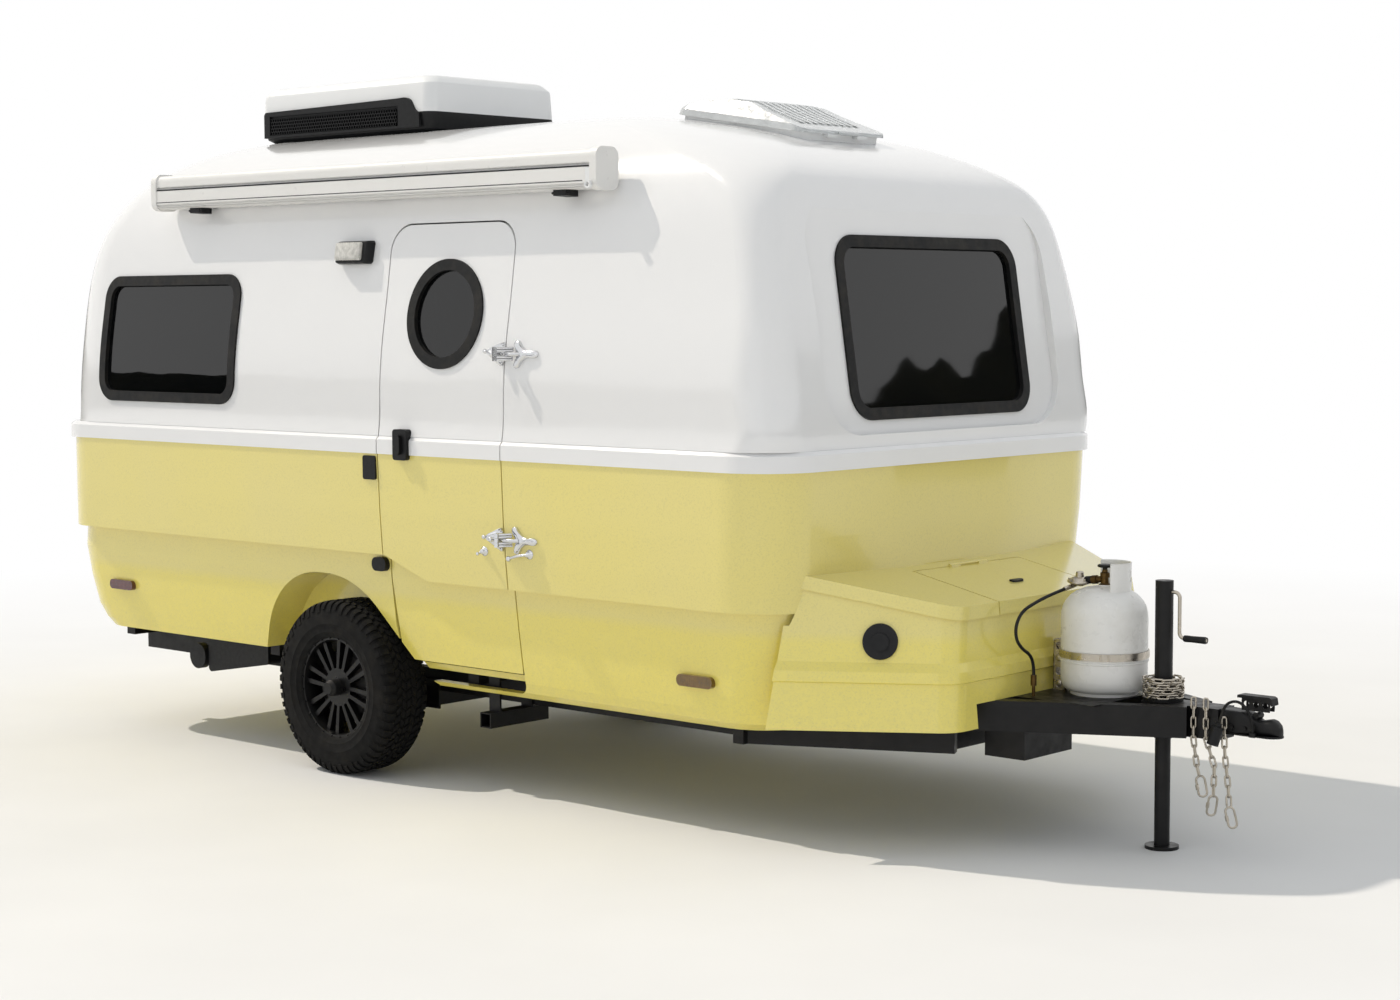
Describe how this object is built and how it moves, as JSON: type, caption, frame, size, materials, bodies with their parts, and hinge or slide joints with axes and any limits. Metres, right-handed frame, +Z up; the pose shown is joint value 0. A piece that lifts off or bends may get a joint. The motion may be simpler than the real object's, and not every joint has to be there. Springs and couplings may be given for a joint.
{
  "type": "travel caravan",
  "caption": "Small two-tone fibreglass travel caravan on one axle, with door, storage box and tongue jack.",
  "frame": {"origin": "on the ground, on the centreline, half way between the tail lamps and the coupler's tip", "axes": "+X forward along the tongue, +Y to the left, +Z up"},
  "size_m": [5.764, 2.1725, 2.915],
  "materials": {
    "amber_lens": "gloss",
    "awning_aluminium": "white powder coat",
    "birch_panel": "satin",
    "black_alloy": "satin black paint",
    "black_plastic": "matte",
    "black_rubber": "matte",
    "black_steel": "satin black paint",
    "brass_fitting": "dull",
    "cast_hub": "rough",
    "chrome_trim": "polished",
    "clear_lens": "gloss",
    "clear_smoke_plastic": "gloss",
    "red_lens": "gloss",
    "seat_fabric": "woven",
    "tinted_glass": "gloss",
    "tyre_rubber": "matte",
    "vinyl_floor": "satin",
    "white_gelcoat": "gloss gelcoat over fibreglass",
    "white_painted_steel": "gloss paint",
    "white_plastic": "satin",
    "yellow_gelcoat": "gloss gelcoat over fibreglass",
    "zinc_steel": "zinc plated"
  },
  "bodies": {
    "caravan": {"ac_base": "black_plastic", "ac_cover": "white_plastic", "amber_markers": "amber_lens", "awning_case": "awning_aluminium", "axle": "black_steel", "cable_port": "black_plastic", "chassis_frame": "black_steel", "coupler": "black_steel", "door_hinge_plates": "chrome_trim", "floor_deck": "vinyl_floor", "floor_pan": "yellow_gelcoat", "front_bench": "birch_panel", "front_bench_cushion": "seat_fabric", "front_window_gasket": "black_rubber", "front_window_glass": "tinted_glass", "galley": "birch_panel", "gas_bracket": "zinc_steel", "gas_cylinder": "white_painted_steel", "gas_fittings": "brass_fitting", "gas_hose": "black_rubber", "jack_crank": "zinc_steel", "jack_post": "black_steel", "left_window_gasket": "black_rubber", "left_window_glass": "tinted_glass", "lower_shell": "yellow_gelcoat", "nose_box": "yellow_gelcoat", "plate_holder": "black_plastic", "porch_light": "clear_lens", "rear_bench": "birch_panel", "rear_bench_cushion": "seat_fabric", "rear_window_gasket": "black_rubber", "rear_window_glass": "tinted_glass", "right_window_gasket": "black_rubber", "right_window_glass": "tinted_glass", "safety_chains": "zinc_steel", "side_plates": "black_plastic", "step_receiver": "black_steel", "tail_lamps": "red_lens", "tow_lead": "black_rubber", "tow_plug": "black_plastic", "upper_shell": "white_gelcoat", "vent_base": "white_plastic", "waste_tank": "black_plastic", "wheel_boxes": "yellow_gelcoat"},
    "door": {"door_upper": "white_gelcoat", "door_lower": "yellow_gelcoat", "door_window_gasket": "black_rubber", "door_window_glass": "tinted_glass", "door_handle": "black_plastic", "door_hinge_leaves": "chrome_trim"},
    "box_lid": {"nose_box_lid": "yellow_gelcoat", "lid_latch": "black_plastic"},
    "roof_vent_lid": {"vent_lid": "clear_smoke_plastic"},
    "jack_leg_body": {"jack_leg": "black_steel"},
    "wheel_right": {"tyre_right": "tyre_rubber", "rim_right": "black_alloy", "hub_right": "cast_hub"},
    "wheel_left": {"tyre_left": "tyre_rubber", "rim_left": "black_alloy", "hub_left": "cast_hub"}
  },
  "joints": [
    {"name": "wheel_right", "type": "hinge", "parent": "caravan", "child": "wheel_right", "pos_m": [-0.88, -0.9325, 0.36], "axis": [0, 1, 0], "continuous": true},
    {"name": "wheel_left", "type": "hinge", "parent": "caravan", "child": "wheel_left", "pos_m": [-0.88, 0.9325, 0.36], "axis": [0, 1, 0], "continuous": true},
    {"name": "door", "type": "hinge", "parent": "caravan", "child": "door", "pos_m": [0.172, -1.096, 1.745], "axis": [0, 0, 1], "range_deg": [0, 165]},
    {"name": "nose_box_lid", "type": "hinge", "parent": "caravan", "child": "box_lid", "pos_m": [1.57, 0, 0.9588], "axis": [0, -1, 0], "range_deg": [0, 80]},
    {"name": "roof_vent_lid", "type": "hinge", "parent": "caravan", "child": "roof_vent_lid", "pos_m": [0.99695, 0, 2.57671], "axis": [0, 1, 0], "range_deg": [0, 70]},
    {"name": "jack_leg", "type": "slide", "parent": "caravan", "child": "jack_leg_body", "axis": [0, 0, 1], "range_m": [0, 0.3]}
  ]
}
